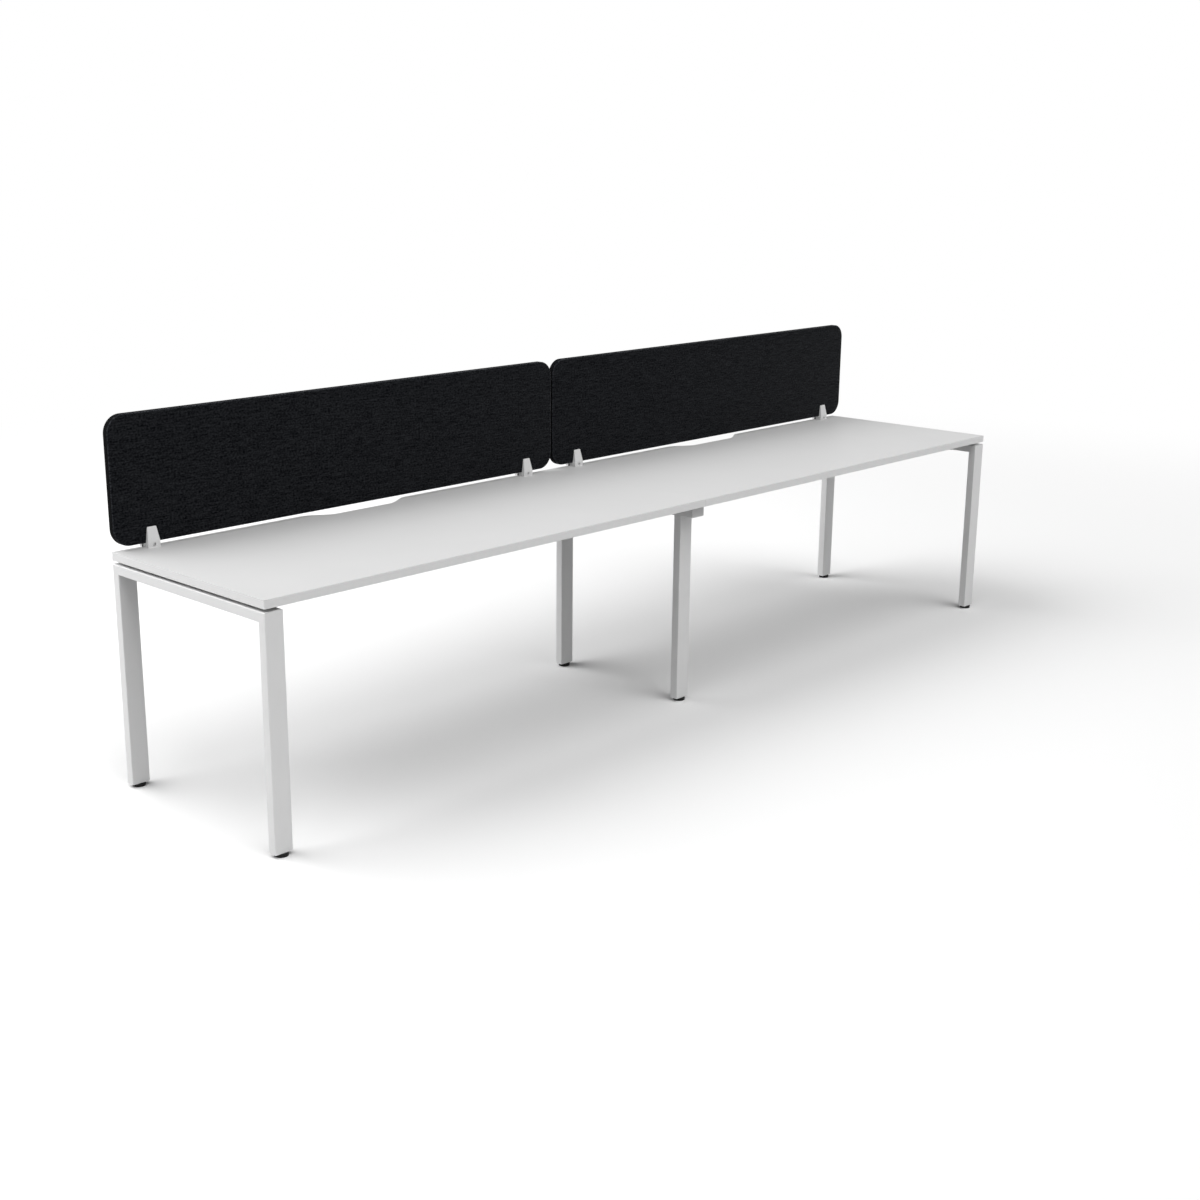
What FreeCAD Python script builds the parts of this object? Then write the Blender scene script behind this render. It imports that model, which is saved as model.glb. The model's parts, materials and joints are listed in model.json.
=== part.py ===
import FreeCAD, Part
import math
import os

# Single-sided office workstation for two people sitting side by side.
# Millimetres. X runs along the desk from left to right, Y from the sitter to the rear edge, Z up.
# The origin is on the floor, under the middle of the desk.

# Worktops
workstation_length = 3600.0
worktop_depth = 750.0
worktop_height = 730.0
board_thickness = 25.0
worktop_corner = 3.0
seam_gap = 0.2
edging_thickness = 2.0
edging_round = 0.5
glue_line = 0.1

# Cable scallop in the rear edge of each worktop
scallop_mouth = 410.0
scallop_flat = 250.0
scallop_depth = 50.0
scallop_round = 60.0

# Rectangular tube of the frames
tube_width = 60.0
tube_depth = 30.0
tube_wall = 2.0
tube_corner = 3.0

# Frames
shadow_gap = 10.0
foot_height = 11.0
middle_rail_setback = 30.0
middle_leg_setback = 80.0
cap_thickness = 2.5
cap_stub_length = 12.0
cap_stub_wall = 2.0

# Beams between the frames
beam_setback = 140.0
beam_width = 30.0
beam_wall = 2.0
beam_bend = 1.5
end_plate_thickness = 4.0
end_plate_margin = 9.0
beam_bolt_offset = 11.0

# Beam bolts and the rivet nuts that take them
bolt_radius = 3.0
bolt_length = 16.0
bolt_head_radius = 5.25
bolt_head_height = 3.3
bolt_head_bevel = 1.4
bolt_key_width = 4.0
bolt_key_depth = 2.0
bolt_hole_clearance = 0.3
thread_clearance = 0.1
rivet_nut_radius = 4.5
rivet_nut_length = 14.0
rivet_nut_bulge_radius = 6.0
rivet_nut_bulge_length = 4.0
rivet_nut_clearance = 0.1

# Screws from the beams up into the worktops
worktop_screw_radius = 2.0
worktop_screw_length = 16.0
worktop_screw_head_radius = 4.0
worktop_screw_head_height = 2.4
worktop_screw_head_bevel = 1.0
worktop_screws_per_beam = 3
worktop_screw_end_margin = 150.0
screw_hole_clearance = 0.25
pilot_clearance = 0.1
pilot_spare_depth = 1.0

# Felt screens
screen_overhang = 5.0
screen_height = 384.0
screen_pair_gap = 4.0
screen_thickness = 24.0
screen_corner = 50.0
screen_edge_round = 3.0
screen_lift = 18.0
screen_inset = 3.5

# Screen brackets: a rear jaw screwed to the worktop, its cheek just past the rear edge, and a front
# jaw that covers those screws, carries the screen on its heel and is drawn to the rear jaw by one bolt
bracket_outer_inset = 120.0
bracket_inner_inset = 132.0
bracket_foot_width = 42.0
bracket_top_width = 30.5
bracket_height = 62.0
bracket_top_corner = 3.0
bracket_bend = 40.0
cheek_foot_thickness = 12.0
cheek_tip_thickness = 2.5
front_heel = 15.5
bracket_plate_thickness = 4.5
jaw_edge_round = 1.0
jaw_gap = 0.5
jaw_slide_clearance = 0.2
clamp_seat_thickness = 6.5
clamp_bolt_length = 40.0
clamp_bore_spare = 1.0
clamp_counterbore_clearance = 0.5
bracket_screw_radius = 2.0
bracket_screw_length = 20.0
bracket_screw_head_radius = 3.8
bracket_screw_head_height = 2.4
bracket_screw_sink = 0.3
bracket_screw_pitch = 24.0

# Plugs in the leg ends, with a threaded insert each
plug_height = 30.0
plug_wall = 2.5
plug_floor = 4.0
plug_clearance = 0.2
plug_boss_radius = 9.0
insert_radius = 5.5
insert_height = 14.0
insert_clearance = 0.1

# Levelling feet
stud_radius = 4.0
stud_length = 50.0
stud_bevel = 1.0
stud_head_radius = 7.0
stud_head_thickness = 3.0
pad_radius = 20.5
pad_floor = 3.5
pad_edge_round = 1.5
pad_rim_bevel = 1.0
pad_clearance = 0.3

# Levels and places that follow from the sizes above
half_length = workstation_length / 2
half_depth = worktop_depth / 2
worktop_length = (workstation_length - seam_gap) / 2
worktop_centre_x = (seam_gap + worktop_length) / 2
worktop_underside = worktop_height - board_thickness
rail_top = worktop_underside - shadow_gap
rail_bottom = rail_top - tube_depth
rail_middle = (rail_top + rail_bottom) / 2
tube_inner_width = tube_width - 2 * tube_wall
tube_inner_depth = tube_depth - 2 * tube_wall
tube_inner_corner = max(tube_corner - tube_wall, 0)
end_frame_x = half_length - tube_width / 2
end_leg_y = half_depth - tube_depth / 2
middle_leg_y = half_depth - middle_leg_setback - tube_depth / 2
middle_rail_end = half_depth - middle_rail_setback
beam_y = half_depth - beam_setback
beam_height = worktop_underside - rail_bottom
bay_start = tube_width / 2
bay_end = half_length - tube_width
screen_length = half_length + screen_overhang - screen_pair_gap / 2
screen_rear = half_depth - screen_inset
screen_front = screen_rear - screen_thickness
screen_bottom = worktop_height + screen_lift
screen_centre_x = (screen_length + screen_pair_gap) / 2
clamp_level = worktop_height + screen_lift / 2
clamp_seat_y = screen_front - clamp_seat_thickness
front_heel_end = screen_front + front_heel
bracket_plate_start = screen_front + jaw_gap
bracket_screw_y = (bracket_plate_start + front_heel_end) / 2
bracket_screw_top = worktop_height + bracket_plate_thickness - bracket_screw_sink
pad_top = foot_height - pad_clearance

SIDES = {"left": -1, "right": 1}
ENDS = {"front": -1, "rear": 1}
FRAMES = {
    "left": (-end_frame_x, end_leg_y),
    "middle": (0, middle_leg_y),
    "right": (end_frame_x, end_leg_y),
}
BRACKETS = {
    "left_outer": bracket_outer_inset - half_length,
    "left_inner": -bracket_inner_inset,
    "right_inner": bracket_inner_inset,
    "right_outer": half_length - bracket_outer_inset,
}

os.makedirs("parts", exist_ok=True)

V = FreeCAD.Vector
X_AXIS = V(1, 0, 0)
Y_AXIS = V(0, 1, 0)
Z_AXIS = V(0, 0, 1)
UPRIGHT = FreeCAD.Rotation()
ALONG_X = FreeCAD.Rotation(Y_AXIS, Z_AXIS, X_AXIS, "ZXY")
AGAINST_X = FreeCAD.Rotation(-Y_AXIS, Z_AXIS, -X_AXIS, "ZXY")
ALONG_Y = FreeCAD.Rotation(-X_AXIS, Z_AXIS, Y_AXIS, "ZXY")


# Helpers for drawing and placing

def outline(corners):
    """Closed flat wire, counter-clockwise, through (x, y, radius) corners rounded by their radius."""
    turning = sum(
        before[0] * after[1] - after[0] * before[1]
        for before, after in zip(corners, corners[1:] + corners[:1])
    )
    if turning < 0:
        corners = corners[::-1]
    edges = []
    joints = []
    for index, (x, y, radius) in enumerate(corners):
        corner = V(x, y, 0)
        before = corners[index - 1]
        after = corners[(index + 1) % len(corners)]
        to_before = (V(before[0], before[1], 0) - corner).normalize()
        to_after = (V(after[0], after[1], 0) - corner).normalize()
        if radius == 0:
            joints.append((corner, corner))
            continue
        half_angle = to_before.getAngle(to_after) / 2
        reach = radius / math.tan(half_angle)
        bisector = (to_before + to_after).normalize()
        nearest = corner + bisector * (radius / math.sin(half_angle) - radius)
        arrive = corner + to_before * reach
        leave = corner + to_after * reach
        edges.append(Part.Arc(arrive, nearest, leave).toShape())
        joints.append((arrive, leave))
    for index, (arrive, leave) in enumerate(joints):
        edges.append(Part.LineSegment(joints[index - 1][1], arrive).toShape())
    return Part.Wire(Part.__sortEdges__(edges))


def rectangle(width, height, radius=0.0):
    """Corners of a rectangle about the origin, all with one radius."""
    return [
        (-width / 2, -height / 2, radius),
        (width / 2, -height / 2, radius),
        (width / 2, height / 2, radius),
        (-width / 2, height / 2, radius),
    ]


def prism(corners, length):
    """Solid of constant section, standing on the XY plane."""
    return Part.Face(outline(corners)).extrude(V(0, 0, length))


def turned(corners):
    """Solid of revolution about Z from (radius, height, rounding) corners."""
    face = Part.Face(outline(corners))
    face.rotate(V(0, 0, 0), X_AXIS, 90)
    return face.revolve(V(0, 0, 0), Z_AXIS, 360)


def placed(shape, base, rotation=UPRIGHT):
    """Copy of a shape drawn at the origin, turned and then moved to its base point."""
    copy = shape.copy()
    copy.Placement = FreeCAD.Placement(base, rotation)
    return copy


def drill(radius, length, base, direction):
    """Cylinder used as a hole."""
    return Part.makeCylinder(radius, length, base, direction)


def save(node, shape):
    """Write one piece, or one group of alike pieces, under its name."""
    shape.exportStep("parts/" + node + ".step")


# Worktops and their edging

def worktop_face():
    """Plan of one worktop about its own centre, with the scallop in the rear edge."""
    right = worktop_length / 2
    scallop_floor = half_depth - scallop_depth
    return Part.Face(outline([
        (-right, -half_depth, worktop_corner),
        (right, -half_depth, worktop_corner),
        (right, half_depth, worktop_corner),
        (scallop_mouth / 2, half_depth, scallop_round),
        (scallop_flat / 2, scallop_floor, scallop_round),
        (-scallop_flat / 2, scallop_floor, scallop_round),
        (-scallop_mouth / 2, half_depth, scallop_round),
        (-right, half_depth, worktop_corner),
    ]))


def worktop_screw_places(side):
    """Points under one worktop where screws come up through its two beams."""
    first = bay_start + worktop_screw_end_margin
    last = bay_end - worktop_screw_end_margin
    step = (last - first) / (worktop_screws_per_beam - 1)
    seat = worktop_underside - beam_wall
    return [
        V(side * (first + step * number), end * beam_y, seat)
        for end in ENDS.values()
        for number in range(worktop_screws_per_beam)
    ]


def bracket_screw_places(bracket_x):
    """Points on one bracket's base where its two screws go down into the worktop."""
    return [
        V(bracket_x + sign * bracket_screw_pitch / 2, bracket_screw_y, bracket_screw_top)
        for sign in (-1, 1)
    ]


def worktop_board(side):
    """Core board with pilot holes for the beam screws and the bracket screws."""
    face = worktop_face().makeOffset2D(-(edging_thickness + glue_line))
    board = face.extrude(V(0, 0, board_thickness))
    board = placed(board, V(side * worktop_centre_x, 0, worktop_underside))
    holes = [
        drill(
            worktop_screw_radius + pilot_clearance,
            worktop_screw_length + pilot_spare_depth,
            place,
            Z_AXIS,
        )
        for place in worktop_screw_places(side)
    ]
    for bracket_x in BRACKETS.values():
        if bracket_x * side > 0:
            holes += [
                drill(
                    bracket_screw_radius + pilot_clearance,
                    bracket_screw_length + pilot_spare_depth,
                    place,
                    -Z_AXIS,
                )
                for place in bracket_screw_places(bracket_x)
            ]
    return board.cut(holes)


def edging_strip(side):
    """Strip glued round the board, its outer edges eased."""
    face = worktop_face()
    block = face.extrude(V(0, 0, board_thickness))
    rims = [edge for edge in block.Edges if edge.BoundBox.ZLength < edging_round / 2]
    block = block.makeFillet(edging_round, rims)
    strip = block.cut(face.makeOffset2D(-edging_thickness).extrude(V(0, 0, board_thickness)))
    return placed(strip, V(side * worktop_centre_x, 0, worktop_underside))


for name, side in SIDES.items():
    save("worktop_" + name, worktop_board(side))
    save("edging_" + name, edging_strip(side))


# Frames of rectangular tube

def tube(length):
    """Length of the frame's tube, standing on the XY plane."""
    outer = prism(rectangle(tube_width, tube_depth, tube_corner), length)
    inner = prism(rectangle(tube_inner_width, tube_inner_depth, tube_inner_corner), length)
    return outer.cut(inner)


def mitre_wedge(end, keep_leg):
    """Triangular block that mitres a leg or a rail at one end of an end frame."""
    over = tube_depth
    outer_y = end * (half_depth + over)
    inner_y = end * (half_depth - tube_depth - over)
    high = rail_top + over
    low = rail_bottom - over
    third = (inner_y, high, 0) if keep_leg else (outer_y, low, 0)
    wedge = prism([(outer_y, high, 0), (inner_y, low, 0), third], 2 * tube_width)
    return placed(wedge, V(-tube_width, 0, 0), ALONG_X)


def end_leg(frame_x, end):
    """Leg of an end frame, mitred at its top."""
    leg = placed(tube(rail_top - foot_height), V(0, end * end_leg_y, foot_height))
    leg = leg.cut(mitre_wedge(end, keep_leg=True))
    leg.translate(V(frame_x, 0, 0))
    return leg


def beam_bolt_rows(end):
    """Y of the two bolts at one beam's end plate, one on each side of the channel."""
    return [end * beam_y + sign * (beam_width / 2 + beam_bolt_offset) for sign in (-1, 1)]


def rail_bolt_holes(face_x, into):
    """Holes for rivet nuts in one side wall of a rail."""
    radius = rivet_nut_radius + rivet_nut_clearance
    return [
        drill(radius, tube_wall + tube_corner, V(face_x, row, rail_middle), V(into, 0, 0))
        for end in ENDS.values()
        for row in beam_bolt_rows(end)
    ]


def end_rail(side):
    """Top rail of an end frame, mitred at both ends, with holes on its inner face."""
    rail = placed(tube(worktop_depth), V(0, -half_depth, rail_middle), ALONG_Y)
    for end in ENDS.values():
        rail = rail.cut(mitre_wedge(end, keep_leg=False))
    rail.translate(V(side * end_frame_x, 0, 0))
    return rail.cut(rail_bolt_holes(side * bay_end, side))


def middle_rail():
    """Rail of the middle frame, with holes on both faces."""
    reach = middle_rail_end - cap_thickness
    rail = placed(tube(2 * reach), V(0, -reach, rail_middle), ALONG_Y)
    holes = []
    for side in SIDES.values():
        holes += rail_bolt_holes(side * bay_start, -side)
    return rail.cut(holes)


def rail_cap(end):
    """Cap over one end of the middle rail, with a hollow stub that grips inside the tube."""
    stub_width = tube_inner_width - 2 * plug_clearance
    stub_depth = tube_inner_depth - 2 * plug_clearance
    cap = prism(rectangle(tube_width, tube_depth, tube_corner), cap_thickness)
    stub = prism(rectangle(stub_width, stub_depth, tube_inner_corner), cap_thickness + cap_stub_length)
    hollow_width = stub_width - 2 * cap_stub_wall
    hollow_depth = stub_depth - 2 * cap_stub_wall
    hollow = placed(prism(rectangle(hollow_width, hollow_depth), cap_stub_length), V(0, 0, cap_thickness))
    cap = placed(cap.fuse(stub).cut(hollow), V(0, -middle_rail_end, rail_middle), ALONG_Y)
    return cap.rotate(V(0, 0, 0), Z_AXIS, 180) if end > 0 else cap


for name, side in SIDES.items():
    save(name + "_frame_rail", end_rail(side))
    for end_name, end in ENDS.items():
        save(name + "_frame_" + end_name + "_leg", end_leg(side * end_frame_x, end))

save("middle_frame_rail", middle_rail())
for end_name, end in ENDS.items():
    leg = placed(tube(rail_bottom - foot_height), V(0, end * middle_leg_y, foot_height))
    save("middle_frame_" + end_name + "_leg", leg)
    save("middle_rail_" + end_name + "_cap", rail_cap(end))


# Beams that carry the worktops between the frames

def beam(side, end):
    """Open channel with a bolting plate welded to each end; its open side faces the desk's middle."""
    inside = beam_width / 2 - beam_wall
    top = beam_height / 2
    channel = prism([
        (-beam_width / 2, -top, beam_bend + beam_wall),
        (beam_width / 2, -top, 0),
        (beam_width / 2, beam_wall - top, 0),
        (-inside, beam_wall - top, beam_bend),
        (-inside, top - beam_wall, beam_bend),
        (beam_width / 2, top - beam_wall, 0),
        (beam_width / 2, top, 0),
        (-beam_width / 2, top, beam_bend + beam_wall),
    ], bay_end - bay_start)
    plate_width = beam_width + 2 * (beam_bolt_offset + end_plate_margin)
    plate = prism(rectangle(plate_width, beam_height, tube_corner), end_plate_thickness)
    far_plate = placed(plate, V(0, 0, bay_end - bay_start - end_plate_thickness))
    whole = channel.fuse([plate, far_plate]).removeSplitter()
    whole = placed(whole, V(bay_start, -beam_y, rail_bottom + top), ALONG_X)
    if end > 0:
        whole = whole.mirror(V(0, 0, 0), Y_AXIS)
    if side < 0:
        whole = whole.mirror(V(0, 0, 0), X_AXIS)
    bolt_hole = bolt_radius + bolt_hole_clearance
    holes = [
        drill(bolt_hole, workstation_length, V(-half_length, row, rail_middle), X_AXIS)
        for row in beam_bolt_rows(end)
    ]
    holes += [
        drill(worktop_screw_radius + screw_hole_clearance, beam_wall, place, Z_AXIS)
        for place in worktop_screw_places(side)
        if place.y * end > 0
    ]
    return whole.cut(holes)


for name, side in SIDES.items():
    for end_name, end in ENDS.items():
        save("beam_" + name + "_" + end_name, beam(side, end))


# Fasteners, drawn along Z with the head's seat on the XY plane and the shank above it

def button_bolt(length):
    """Button-head bolt with a hexagon socket."""
    bolt = turned([
        (0, -bolt_head_height, 0),
        (bolt_head_radius - bolt_head_bevel, -bolt_head_height, 0),
        (bolt_head_radius, bolt_head_bevel - bolt_head_height, 0),
        (bolt_head_radius, 0, 0),
        (bolt_radius, 0, 0),
        (bolt_radius, length, 0),
        (0, length, 0),
    ])
    key_corner = bolt_key_width / math.sqrt(3)
    hexagon = [
        (key_corner * math.cos(turn * math.pi / 3), key_corner * math.sin(turn * math.pi / 3), 0)
        for turn in range(6)
    ]
    return bolt.cut(placed(prism(hexagon, bolt_key_depth), V(0, 0, -bolt_head_height)))


def rivet_nut():
    """Blind rivet nut, flush with the wall's outer face and swelled behind the wall."""
    bore = bolt_radius + thread_clearance
    bulge_end = tube_wall + rivet_nut_bulge_length
    return turned([
        (bore, 0, 0),
        (rivet_nut_radius, 0, 0),
        (rivet_nut_radius, tube_wall, 0),
        (rivet_nut_bulge_radius, tube_wall, 0),
        (rivet_nut_radius, bulge_end, 0),
        (rivet_nut_radius, rivet_nut_length, 0),
        (bore, rivet_nut_length, 0),
    ])


def worktop_screw():
    """Pan-head wood screw."""
    return turned([
        (0, -worktop_screw_head_height, 0),
        (worktop_screw_head_radius - worktop_screw_head_bevel, -worktop_screw_head_height, 0),
        (worktop_screw_head_radius, worktop_screw_head_bevel - worktop_screw_head_height, 0),
        (worktop_screw_head_radius, 0, 0),
        (worktop_screw_radius, 0, 0),
        (worktop_screw_radius, worktop_screw_length - 2 * worktop_screw_radius, 0),
        (0, worktop_screw_length, 0),
    ])


def bracket_screw():
    """Countersunk wood screw, pointing down from the flat of its head."""
    return turned([
        (0, 0, 0),
        (bracket_screw_head_radius, 0, 0),
        (bracket_screw_radius, -bracket_screw_head_height, 0),
        (bracket_screw_radius, 2 * bracket_screw_radius - bracket_screw_length, 0),
        (0, -bracket_screw_length, 0),
    ])


bolts = []
nuts = []
for side in SIDES.values():
    for face_x, into in ((side * bay_start, -side), (side * bay_end, side)):
        facing = ALONG_X if into > 0 else AGAINST_X
        for end in ENDS.values():
            for row in beam_bolt_rows(end):
                seat_x = face_x - into * end_plate_thickness
                bolts.append(placed(button_bolt(bolt_length), V(seat_x, row, rail_middle), facing))
                nuts.append(placed(rivet_nut(), V(face_x, row, rail_middle), facing))
save("beam_bolts", Part.makeCompound(bolts))
save("rivet_nuts", Part.makeCompound(nuts))

screw_places = worktop_screw_places(-1) + worktop_screw_places(1)
save("worktop_screws", Part.makeCompound([placed(worktop_screw(), place) for place in screw_places]))


# Felt screens

def screen(side):
    """Upright felt panel with rounded corners and eased edges."""
    panel = prism(rectangle(screen_length, screen_height, screen_corner), screen_thickness)
    rims = [edge for edge in panel.Edges if edge.BoundBox.ZLength < screen_edge_round]
    panel = panel.makeFillet(screen_edge_round, rims)
    base = V(side * screen_centre_x, screen_front, screen_bottom + screen_height / 2)
    return placed(panel, base, ALONG_Y)


for name, side in SIDES.items():
    save("screen_" + name, screen(side))


# Screen brackets

def bracket_jaw(side_view):
    """Jaw with the bracket's outline from the front and a (y, height, rounding) outline from the side."""
    foot_half = bracket_foot_width / 2
    top_half = bracket_top_width / 2
    front_view = [
        (-foot_half, 0, 0),
        (foot_half, 0, 0),
        (foot_half, screen_lift, bracket_bend),
        (top_half, bracket_height, bracket_top_corner),
        (-top_half, bracket_height, bracket_top_corner),
        (-foot_half, screen_lift, bracket_bend),
    ]
    through = placed(prism(front_view, worktop_depth), V(0, 0, worktop_height), ALONG_Y)
    across_start = V(-bracket_foot_width, 0, worktop_height)
    across = placed(prism(side_view, 2 * bracket_foot_width), across_start, ALONG_X)
    return through.common(across).Solids[0]


def ease_outer_face(jaw, outward):
    """Round the side and top edges of a jaw's outer face; outward is the way it looks along Y."""
    screen_face = screen_rear if outward > 0 else screen_front
    near_top = worktop_height + bracket_height - jaw_edge_round
    rim = []
    for edge in jaw.Edges:
        box = edge.BoundBox
        outside = outward * (edge.CenterOfMass.y - screen_face) > jaw_edge_round
        rises = box.ZLength > jaw_edge_round / 2
        crosses_top = box.XLength > jaw_edge_round and box.ZMin > near_top
        if outside and (rises or crosses_top):
            rim.append(edge)
    return jaw.makeFillet(jaw_edge_round, rim)


def front_jaw():
    """Cheek that leans back above the screen's lower edge, with the heel that the screen stands on."""
    cheek_foot = screen_front - cheek_foot_thickness
    cheek_tip = screen_front - cheek_tip_thickness
    heel_low = bracket_plate_thickness + jaw_slide_clearance
    jaw = bracket_jaw([
        (cheek_foot, 0, 0),
        (screen_front, 0, 0),
        (screen_front, heel_low, 0),
        (front_heel_end, heel_low, 0),
        (front_heel_end, screen_lift, 0),
        (screen_front, screen_lift, 0),
        (screen_front, bracket_height, 0),
        (cheek_tip, bracket_height, 0),
        (cheek_foot, screen_lift, bracket_bend),
    ])
    jaw = ease_outer_face(jaw, -1)
    seat = V(0, clamp_seat_y, clamp_level)
    bore_length = clamp_seat_thickness + front_heel
    bore = drill(bolt_radius + bolt_hole_clearance, bore_length, seat, Y_AXIS)
    head = drill(bolt_head_radius + clamp_counterbore_clearance, cheek_foot_thickness, seat, -Y_AXIS)
    return jaw.cut([bore, head])


def rear_jaw():
    """Plate on the worktop with a leaning cheek behind the screen, tapped for the clamp bolt."""
    cheek_foot = screen_rear + cheek_foot_thickness
    cheek_tip = screen_rear + cheek_tip_thickness
    jaw = bracket_jaw([
        (bracket_plate_start, 0, 0),
        (cheek_foot, 0, 0),
        (cheek_foot, screen_lift, bracket_bend),
        (cheek_tip, bracket_height, 0),
        (screen_rear, bracket_height, 0),
        (screen_rear, bracket_plate_thickness, 0),
        (bracket_plate_start, bracket_plate_thickness, 0),
    ])
    jaw = ease_outer_face(jaw, 1)
    bore_start = V(0, screen_rear, clamp_level)
    bore_length = clamp_seat_y + clamp_bolt_length + clamp_bore_spare - screen_rear
    cuts = [drill(bolt_radius + thread_clearance, bore_length, bore_start, Y_AXIS)]
    head_radius = bracket_screw_head_radius + screw_hole_clearance
    shank_radius = bracket_screw_radius + screw_hole_clearance
    for place in bracket_screw_places(0):
        cuts.append(placed(turned([
            (0, bracket_screw_sink, 0),
            (head_radius, bracket_screw_sink, 0),
            (head_radius, 0, 0),
            (shank_radius, -bracket_screw_head_height, 0),
            (shank_radius, -bracket_plate_thickness, 0),
            (0, -bracket_plate_thickness, 0),
        ]), place))
    return jaw.cut(cuts)


clamp_bolts = []
bracket_screws = []
for name, bracket_x in BRACKETS.items():
    save(name + "_bracket_front_jaw", placed(front_jaw(), V(bracket_x, 0, 0)))
    save(name + "_bracket_rear_jaw", placed(rear_jaw(), V(bracket_x, 0, 0)))
    clamp_seat = V(bracket_x, clamp_seat_y, clamp_level)
    clamp_bolts.append(placed(button_bolt(clamp_bolt_length), clamp_seat, ALONG_Y))
    bracket_screws += [placed(bracket_screw(), place) for place in bracket_screw_places(bracket_x)]
save("clamp_bolts", Part.makeCompound(clamp_bolts))
save("bracket_screws", Part.makeCompound(bracket_screws))


# Leg plugs, threaded inserts and levelling feet

def leg_plug():
    """Moulded plug pushed into a leg's lower end: a floor, thin walls and a boss for the insert."""
    width = tube_inner_width - 2 * plug_clearance
    depth = tube_inner_depth - 2 * plug_clearance
    body = prism(rectangle(width, depth, tube_inner_corner), plug_height)
    pocket = prism(rectangle(width - 2 * plug_wall, depth - 2 * plug_wall), plug_height)
    pocket = placed(pocket, V(0, 0, plug_floor))
    boss = Part.makeCylinder(plug_boss_radius, plug_height)
    plug = body.cut(pocket.cut(boss))
    seat = V(0, 0, plug_height - insert_height)
    return plug.cut([
        drill(stud_radius + pad_clearance, plug_height, V(0, 0, 0), Z_AXIS),
        drill(insert_radius + insert_clearance, insert_height, seat, Z_AXIS),
    ])


def threaded_insert():
    """Steel sleeve in the plug's boss; its thread carries the stud."""
    bore = stud_radius + thread_clearance
    return turned([
        (bore, 0, 0),
        (insert_radius, 0, 0),
        (insert_radius, insert_height, 0),
        (bore, insert_height, 0),
    ])


def foot_stud():
    """Stud with a round head that is moulded into the pad."""
    head_bottom = pad_floor + pad_clearance
    head_top = head_bottom + stud_head_thickness
    tip = head_bottom + stud_length
    return turned([
        (0, head_bottom, 0),
        (stud_head_radius, head_bottom, 0),
        (stud_head_radius, head_top, 0),
        (stud_radius, head_top, 0),
        (stud_radius, tip - stud_bevel, 0),
        (stud_radius - stud_bevel, tip, 0),
        (0, tip, 0),
    ])


def foot_pad():
    """Round pad that stands on the floor and is turned by hand to raise or lower the leg."""
    neck = stud_radius + pad_clearance
    cavity = stud_head_radius + pad_clearance
    cavity_top = pad_floor + stud_head_thickness + 2 * pad_clearance
    return turned([
        (0, 0, 0),
        (pad_radius, 0, pad_edge_round),
        (pad_radius, pad_top - pad_rim_bevel, 0),
        (pad_radius - pad_rim_bevel, pad_top, 0),
        (neck, pad_top, 0),
        (neck, cavity_top, 0),
        (cavity, cavity_top, 0),
        (cavity, pad_floor, 0),
        (0, pad_floor, 0),
    ])


inserts = []
for frame, (frame_x, leg_y) in FRAMES.items():
    for end_name, end in ENDS.items():
        leg_name = frame + "_" + end_name
        on_floor = V(frame_x, end * leg_y, 0)
        leg_end = V(frame_x, end * leg_y, foot_height)
        insert_seat = leg_end + V(0, 0, plug_height - insert_height)
        save(leg_name + "_leg_plug", placed(leg_plug(), leg_end))
        save(leg_name + "_foot_stud", placed(foot_stud(), on_floor))
        save(leg_name + "_foot_pad", placed(foot_pad(), on_floor))
        inserts.append(placed(threaded_insert(), insert_seat))
save("threaded_inserts", Part.makeCompound(inserts))
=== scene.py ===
# %% [markdown]
# # A desk for two, side by side
# The desk is a long white table on three tube frames, with two dark felt screens clamped along its
# rear edge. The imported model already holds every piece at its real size, so this lesson gives the
# pieces their finish, and models again the ones that need more than a plain solid: the felt screens,
# the threaded studs of the levelling feet, and the bolts and screws. The frame comes first, because
# everything else takes its place from it.

# %% Load the frame
import json
import math

import bmesh
import bpy
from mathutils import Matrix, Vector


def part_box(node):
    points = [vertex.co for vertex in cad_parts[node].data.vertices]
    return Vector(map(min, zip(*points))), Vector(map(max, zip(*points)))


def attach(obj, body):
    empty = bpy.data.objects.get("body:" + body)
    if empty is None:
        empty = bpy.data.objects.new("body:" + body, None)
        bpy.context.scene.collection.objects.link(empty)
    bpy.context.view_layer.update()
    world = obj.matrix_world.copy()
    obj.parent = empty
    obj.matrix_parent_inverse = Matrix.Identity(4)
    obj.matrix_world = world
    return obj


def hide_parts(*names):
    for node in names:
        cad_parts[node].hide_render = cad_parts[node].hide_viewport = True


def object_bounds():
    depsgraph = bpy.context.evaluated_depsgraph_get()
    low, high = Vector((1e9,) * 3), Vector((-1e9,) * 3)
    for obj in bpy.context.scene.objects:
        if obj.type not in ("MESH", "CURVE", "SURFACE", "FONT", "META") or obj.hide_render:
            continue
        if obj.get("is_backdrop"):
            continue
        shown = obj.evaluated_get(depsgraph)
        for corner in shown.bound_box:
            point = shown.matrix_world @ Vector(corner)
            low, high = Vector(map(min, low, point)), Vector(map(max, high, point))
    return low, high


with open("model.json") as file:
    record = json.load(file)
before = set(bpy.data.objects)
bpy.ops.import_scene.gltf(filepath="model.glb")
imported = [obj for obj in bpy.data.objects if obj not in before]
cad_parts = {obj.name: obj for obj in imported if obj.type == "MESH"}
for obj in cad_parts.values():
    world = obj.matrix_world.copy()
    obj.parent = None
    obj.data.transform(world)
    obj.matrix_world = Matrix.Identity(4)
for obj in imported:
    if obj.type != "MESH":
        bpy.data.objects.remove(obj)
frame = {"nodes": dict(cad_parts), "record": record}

cad_low, cad_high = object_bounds()
nodes = frame["nodes"]
print("frame:", len(nodes), "nodes,", [round(side, 3) for side in cad_high - cad_low], "metres")

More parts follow.
